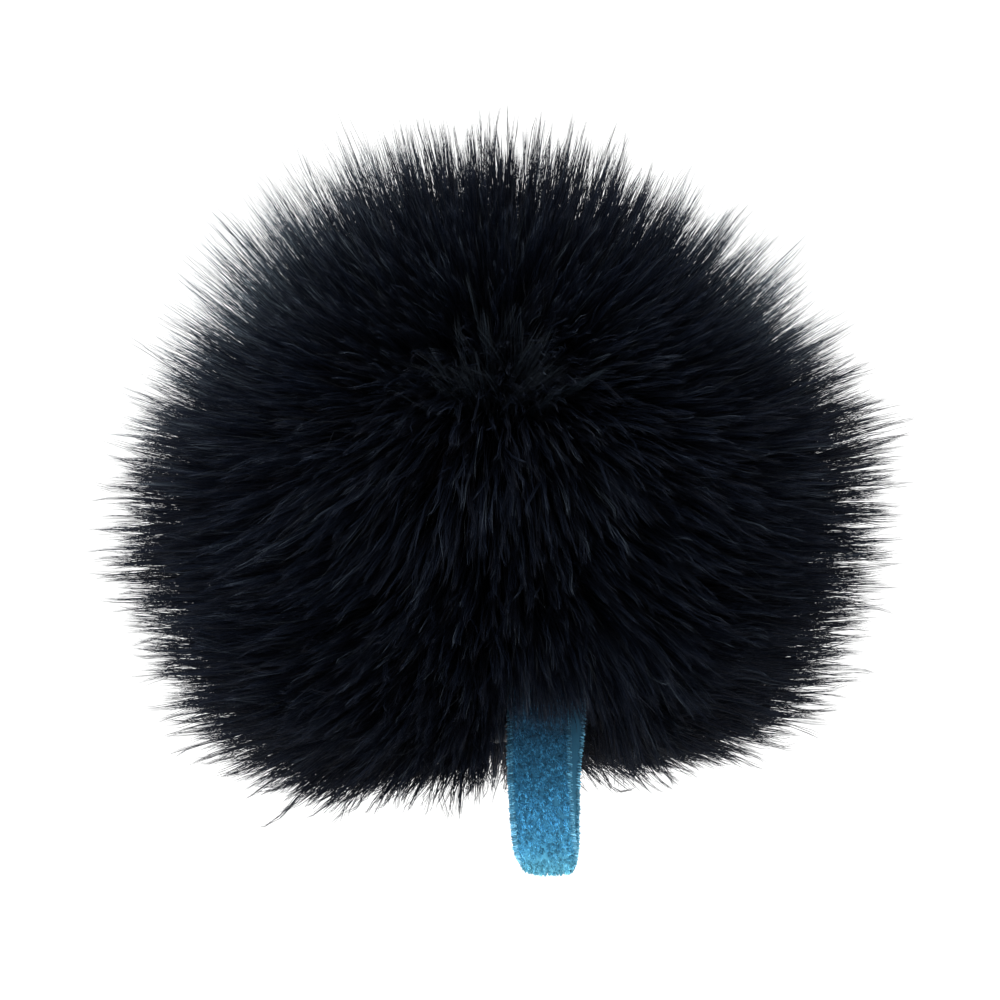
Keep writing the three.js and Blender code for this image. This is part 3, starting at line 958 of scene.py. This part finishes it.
def ribbon_path(count):
    """The middle of the ribbon's cloth, from one sewn end round the fold to the other: depth and height."""
    top, knee, fold = NECK_LOW[2], NECK_LOW[2] - 3.3, TAB_FOLD_Z + PLY_OUT
    closed, opened = -0.40, -(PLY_OUT - CLOTH_THICK / 2 - NAP)
    leg = [(closed, ROOT_HIGH[2])] + [(closed, z) for z in np.linspace(ROOT_HIGH[2], top, 12)[1:]]
    for t in np.linspace(0, 1, 9)[1:]:
        leg.append((closed + (opened - closed) * float(smoothstep(0, 1, t)), top + (knee - top) * t))
    bend = [(-opened * math.cos(a), fold + opened * math.sin(a)) for a in np.linspace(math.pi, 0, 15)[1:-1]]
    leg.append((opened, fold))
    path = np.array(leg + bend + [(-d, z) for d, z in reversed(leg)])
    distance = distance_along(path)
    even = np.linspace(0, distance[-1], count)
    return np.stack([np.interp(even, distance, column) for column in path.T], 1)


RIBBON_LINE = ribbon_path(400)
RIBBON_NORMAL = right_of(RIBBON_LINE)
RIBBON_PLACES = np.linspace(0, 1, len(RIBBON_LINE))
SPLIT_Z = (NECK_LOW[2] + HINGE_Z) / 2  # the ribbon's pieces meet here, on the body between its joints


def ribbon_surface(across, place, lift):
    """Points of the ribbon: across from -1 to 1, place from 0 to 1 along it, lift off the cloth's middle."""
    depth, z = (np.interp(place, RIBBON_PLACES, column) for column in RIBBON_LINE.T)
    normal_y, normal_z = (np.interp(place, RIBBON_PLACES, column) for column in RIBBON_NORMAL.T)
    height = np.clip((z - TAB_FOLD_Z) / (HINGE_Z - TAB_FOLD_Z), 0, 1)
    lean = RIBBON_SKEW * height**0.45 * np.clip(depth / 0.4, -1, 1)
    bow = 0.10 * np.sin(place * math.pi * 5.0) * (1 - np.abs(2 * place - 1) ** 4)
    x = across * (RIBBON_WIDE / 2 - 0.05) + lean + bow
    # The fold's corners are rounded, the left one most.
    low = np.clip(1 - (z - RIBBON_LINE[:, 1].min()) / 1.7, 0, 1)
    left, right = np.maximum(-across, 0), np.maximum(across, 0)
    x = x + (0.5 * left**4 - 0.25 * right**4) * (1 - np.sqrt(1 - low**2))
    z = z + (0.5 * left**2 + 0.3 * right**4) * low**2
    dent = 0.16 * np.exp(-(((across - 0.45) / 0.35) ** 2) - (((place - 0.445) / 0.02) ** 2))
    lift = lift - dent
    return np.stack(np.broadcast_arrays(x, TAB_Y + depth + normal_y * lift, z + normal_z * lift), axis=-1)


def split_places():
    """Places along the ribbon where it crosses SPLIT_Z, on the front leg and on the rear one."""
    half = len(RIBBON_LINE) // 2
    front = np.interp(-SPLIT_Z, -RIBBON_LINE[:half, 1], RIBBON_PLACES[:half])
    return front, 1 - front


FRONT_SPLIT, REAR_SPLIT = split_places()
FOLD = 0.5  # the fold's place along the ribbon
# Pieces of the cloth: name, where they start and end along it, and rows of points.
CLOTH_PIECES = [
    ("end_front", 0.0, FRONT_SPLIT, 70),
    ("loop", FRONT_SPLIT, REAR_SPLIT, 240),
    ("end_rear", REAR_SPLIT, 1.0, 70),
]
# Pieces of the pile and the edge yarn: the same, and how many fibres of pile.
NAP_PIECES = [
    ("end_front", 0.0, FRONT_SPLIT, 2500),
    ("loop_front", FRONT_SPLIT, FOLD, 7500),
    ("loop_rear", FOLD, REAR_SPLIT, 7500),
    ("end_rear", REAR_SPLIT, 1.0, 2500),
]


def join_ribbon(piece, stretch, mat):
    """Gives a piece of the ribbon its material, fixes its place in its points, and hides the CAD nodes it
    stands for.
    """
    piece.data.materials.append(mat)
    if stretch.startswith("loop"):
        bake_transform(piece)
        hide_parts("tab_loop", "tab_neck")
    else:
        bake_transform(piece)
        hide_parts("tab_root", "tab_neck")


def make_ribbon_cloth():
    """The woven cloth of the ribbon."""
    across = np.linspace(-1, 1, 33)[None]
    edge = 0.06 * smoothstep(0.86, 0.98, np.abs(across))  # the woven edge is a little thicker
    for stretch, start, end, rows in CLOTH_PIECES:
        place = np.linspace(start, end, rows)[:, None]
        weave = 0.015 * np.sin(across * 60) * np.sin(place * 400)
        lifts = (CLOTH_THICK / 2 + edge + weave, -CLOTH_THICK / 2 - weave * 0.5 - edge * 0.3)
        faces = [ribbon_surface(across, place, lift) for lift in lifts]
        uv = np.stack(np.broadcast_arrays(across * 0.5 + 0.5, place), -1)
        join_ribbon(slab(f"ribbon_{stretch}", *faces, uv=uv), stretch, RIBBON_CLOTH)


def nap_fibres(across, place, long, lie):
    """Short curled fibres that stand on the outside of the ribbon."""
    count = len(across)
    root = ribbon_surface(across, place, np.full(count, CLOTH_THICK / 2 - 0.02))
    out = unit(ribbon_surface(across, place, np.full(count, CLOTH_THICK / 2 + 0.5)) - root)
    way = unit(rng.normal(0, 0.45, (count, 3)) + np.array([0, 0, -1.0]))
    steps = np.array([0, 0.4, 0.75, 1.0])[None, :, None]
    rise = out[:, None] * (steps - 0.45 * steps**2) * long[:, None, None]
    return root[:, None] + rise + way[:, None] * steps**1.5 * (long * lie)[:, None, None]


def edge_loops(side, place):
    """Small loops of weft yarn that come up through the cloth and turn over its woven edge."""
    count = len(place)
    turn = np.linspace(0.0, 1.0, 9)[None]
    inside = np.array([0.3] + [1.0] * 7 + [0.3])[None]  # both ends of a loop are in the cloth
    inset = rng.uniform(0.83, 0.90, count)[:, None]
    reach = rng.uniform(1.0, 1.06, count)[:, None]
    across = side * (inset + (reach - inset) * np.sin(math.pi * turn))
    lift = (CLOTH_THICK / 2 + rng.uniform(0.10, 0.17, (count, 1))) * np.cos(math.pi * turn) * inside
    slant = rng.normal(0.007, 0.0012, (count, 1))
    return ribbon_surface(across, place[:, None] + slant * turn, lift)


FIBRES_PER_TUFT = 5
EDGE_LOOP_STEP = 0.0037  # from one loop of edge yarn to the next, as a share of the ribbon


def make_ribbon_nap():
    """The ribbon's pile and the yarn along its edges."""
    for stretch, start, end, count in NAP_PIECES:
        # The fibres stand in small tufts, in rows down the ribbon, each row a shade lighter or darker.
        tufts = count // FIBRES_PER_TUFT
        across, place = rng.uniform(-0.88, 0.88, tufts), rng.uniform(start, end, tufts)
        rows = 0.45 + 0.15 * np.sin(across * 23 + 2 * np.sin(place * 60)) + rng.normal(0, 0.32, tufts)
        across, place, rows = (np.repeat(each, FIBRES_PER_TUFT) for each in (across, place, rows))
        across = across + rng.normal(0, 0.03, count)
        place = np.clip(place + rng.normal(0, 0.0025, count), start, end)
        lines = nap_fibres(across, place, rng.uniform(0.14, 0.25, count), 0.9)
        radii = taper(count, lines.shape[1] - 1, 0.032, 0.024)
        piece = strand_mesh(f"ribbon_nap_{stretch}", lines, radii, np.clip(rows, 0, 1), place)
        join_ribbon(piece, stretch, RIBBON_NAP)
        loops, places = [], []
        for side in (-1, 1):
            places.append(np.arange(start, end, EDGE_LOOP_STEP) + rng.uniform(0, 0.001))
            loops.append(edge_loops(side, places[-1]))
        lines, place = np.concatenate(loops), np.concatenate(places)
        radii = taper(len(lines), lines.shape[1] - 1, 0.055, 0.045)
        piece = strand_mesh(f"ribbon_edge_{stretch}", lines, radii, rng.random(len(lines)), place)
        join_ribbon(piece, stretch, RIBBON_EDGE)


make_fur()
make_backing()
make_hem()
make_stitches()
make_elastic()
make_foam()
make_ribbon_cloth()
make_ribbon_nap()


# ---------------------------------------------------------------------------------------------
# Floor, light and camera


def stage_material():
    """Matt white that glows a little, so that the backdrop stays white."""
    mat, _, shader = material("white_sweep", roughness=0.9, specular=0.1)
    shader.inputs["Base Color"].default_value = (0.93, 0.93, 0.93, 1)
    shader.inputs["Emission Color"].default_value = (1, 1, 1, 1)
    shader.inputs["Emission Strength"].default_value = 0.15
    return mat


def make_sweep():
    """A white floor that curves up into a backdrop all round, like a studio bowl."""
    low = TAB_FOLD_Z - 28
    bend, flat, rise = 600.0, 2400.0, 1500.0
    profile = [(0.001, low), (flat, low)]
    for a in np.radians(np.linspace(-80, 0, 9)):
        profile.append((flat + bend * math.cos(a), low + bend + bend * math.sin(a)))
    profile.append((flat + bend, low + rise))
    points, index = rings_about_z(profile, 64)
    sweep = mesh_object("floor", points, grid_quads(index))
    sweep.data.materials.append(stage_material())


def area_light(name, turn, height, distance, size, power):
    """A soft square light that looks at the middle of the object."""
    lamp = bpy.data.lights.new(name, "AREA")
    lamp.size = size * MM
    lamp.energy = power
    light = bpy.data.objects.new(name, lamp)
    light.location = polar(distance * math.cos(height), distance * math.sin(height) + CENTRE_Z, turn) * MM
    way = Vector((0, 0, CENTRE_Z * MM)) - light.location
    light.rotation_euler = way.to_track_quat("-Z", "Y").to_euler()
    bpy.context.scene.collection.objects.link(light)


def make_light():
    """An even white studio, a key light from the upper left and one from behind."""
    world = bpy.data.worlds.new("studio")
    bpy.context.scene.world = world
    world.use_nodes = True
    background = world.node_tree.nodes["Background"]
    background.inputs["Color"].default_value = (1, 1, 1, 1)
    background.inputs["Strength"].default_value = 1.0
    area_light("key", CAMERA_AZIMUTH - math.radians(50), math.radians(50), 450, 300, 2.1)
    area_light("rear", CAMERA_AZIMUTH + math.radians(180), math.radians(45), 500, 350, 1.0)
    bpy.context.scene.view_settings.view_transform = "Standard"


def make_camera():
    """A long lens at the middle of the object, from the front left."""
    data = bpy.data.cameras.new("camera")
    data.lens = LENS_MM
    data.sensor_width = 36
    camera = bpy.data.objects.new("camera", data)
    distance = FRAME_WIDE * LENS_MM / data.sensor_width
    middle = np.array([0, 0, (PILE_HIGH[2] + TAB_FOLD_Z) / 2])
    back = polar(math.cos(CAMERA_ELEVATION), math.sin(CAMERA_ELEVATION), CAMERA_AZIMUTH)
    camera.location = (middle + back * distance) * MM
    camera.rotation_euler = Vector(-back).to_track_quat("-Z", "Y").to_euler()
    data.clip_start = 0.01
    bpy.context.scene.collection.objects.link(camera)
    bpy.context.scene.camera = camera


make_sweep()
make_light()
make_camera()
